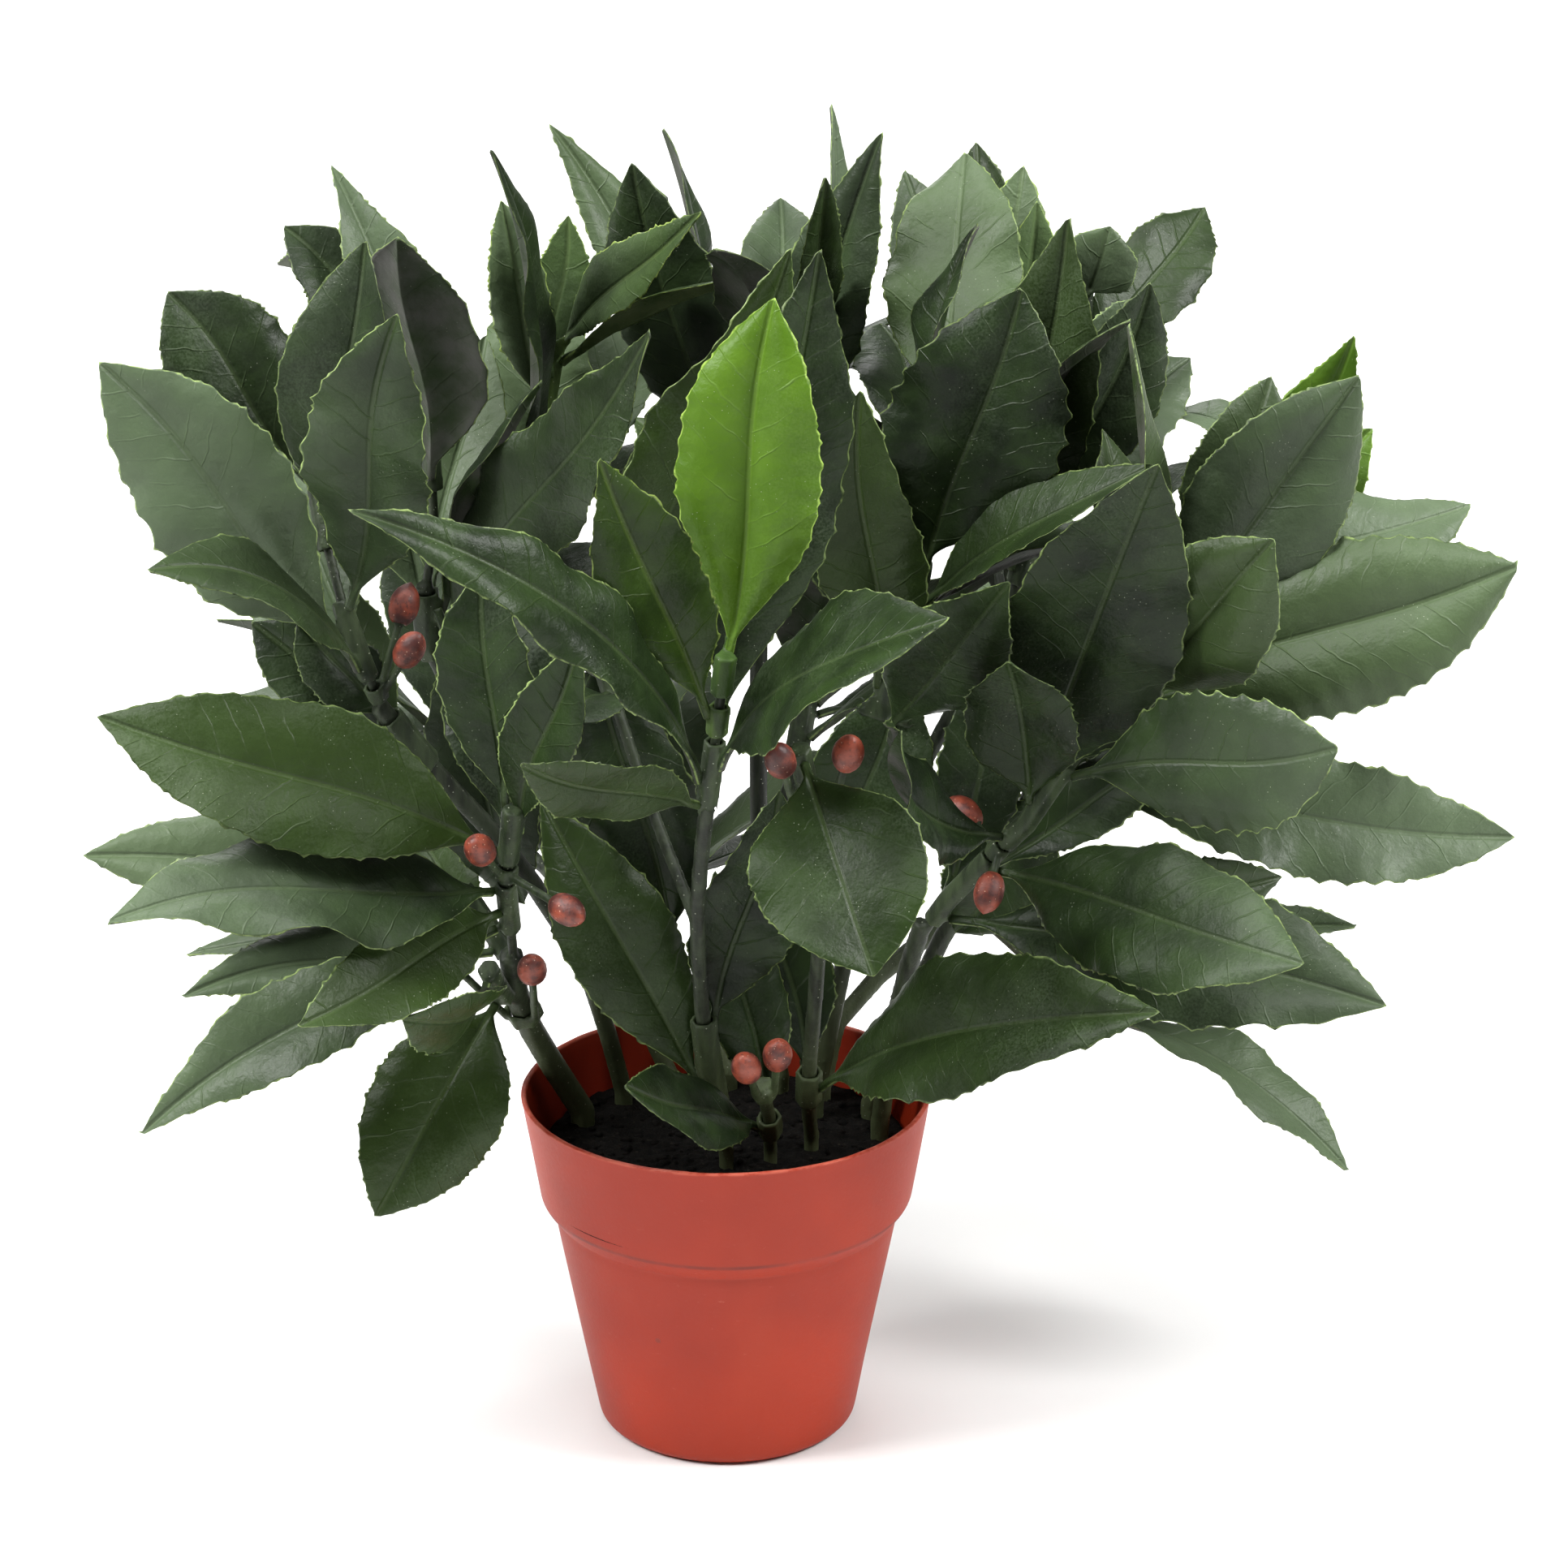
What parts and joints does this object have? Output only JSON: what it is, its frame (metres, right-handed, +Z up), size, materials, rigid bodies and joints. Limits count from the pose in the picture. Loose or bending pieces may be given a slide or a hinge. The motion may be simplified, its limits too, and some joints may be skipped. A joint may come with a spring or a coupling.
{
  "type": "potted bay laurel",
  "caption": "Artificial bay laurel bush of moulded plastic, with branched stems, leaf sets on sleeves and small oval berries, planted in a tapered nursery pot",
  "frame": {"origin": "centre of the pot's flat base, on the surface that it stands on", "axes": "+Z up out of the pot; -Y is the plant's best side; +X to the right as seen from there"},
  "size_m": [0.4067, 0.3288, 0.376],
  "materials": {
    "pot": "satin moulded plastic, orange-terracotta",
    "soil": "dark crumbly planting foam",
    "stem": "satin dark green plastic with moulded ridges",
    "leaf_dark": "satin dark green plastic with embossed veins and pale flash edges",
    "leaf_olive": "satin olive green plastic with embossed veins",
    "leaf_bright": "satin bright green plastic with embossed veins",
    "berry": "satin red-brown plastic"
  },
  "bodies": {
    "root": {"stem_left_low": "stem", "stem_left_up": "stem", "stem_left_back": "stem", "stem_back_left": "stem", "stem_centre": "stem", "stem_centre_low": "stem", "stem_centre_right": "stem", "stem_right_low": "stem", "stem_right_mid": "stem", "stem_up": "stem", "stem_back": "stem", "stem_right_back": "stem", "pot": "pot", "soil": "soil", "berries_low": "berry", "berries_left": "berry", "berries_left_under": "berry", "berries_left_up": "berry", "berries_centre": "berry", "berries_right": "berry", "leaf_low_left": "leaf_dark", "leaves_low_front": "leaf_dark", "leaf_low_right": "leaf_dark", "leaf_bright": "leaf_bright", "leaf_olive": "leaf_olive", "leaves_front": "leaf_dark", "leaves_hanging": "leaf_dark", "leaves_left_droop": "leaf_dark", "leaves_left_low": "leaf_dark", "leaves_left_mid": "leaf_dark", "leaves_left_under": "leaf_dark", "leaves_left_side": "leaf_dark", "leaves_left_high": "leaf_dark", "leaves_left_top": "leaf_dark", "leaves_up_front": "leaf_dark", "leaves_up_right": "leaf_dark", "leaves_right_low": "leaf_dark", "leaves_right_front": "leaf_dark", "leaves_right_mid": "leaf_dark", "leaves_right_broad": "leaf_dark", "leaves_right_high": "leaf_dark", "leaves_dark_centre": "leaf_dark", "leaves_left_inner": "leaf_dark", "leaves_left_crown": "leaf_dark", "leaves_back_left": "leaf_dark", "leaves_back_left_olive": "leaf_olive", "leaves_top_right": "leaf_dark", "leaves_back_top": "leaf_dark", "leaves_back_far": "leaf_dark", "leaves_high_right": "leaf_dark", "leaves_high_right_tip": "leaf_dark", "leaves_high_back_young": "leaf_olive", "leaves_high_back": "leaf_dark", "leaves_right_young": "leaf_bright", "leaves_right_back": "leaf_dark", "leaves_right_under": "leaf_dark", "leaves_rear_left": "leaf_dark", "leaves_rear_low": "leaf_dark", "leaves_rear_mid": "leaf_dark", "leaves_rear_right": "leaf_dark"}
  },
  "joints": []
}
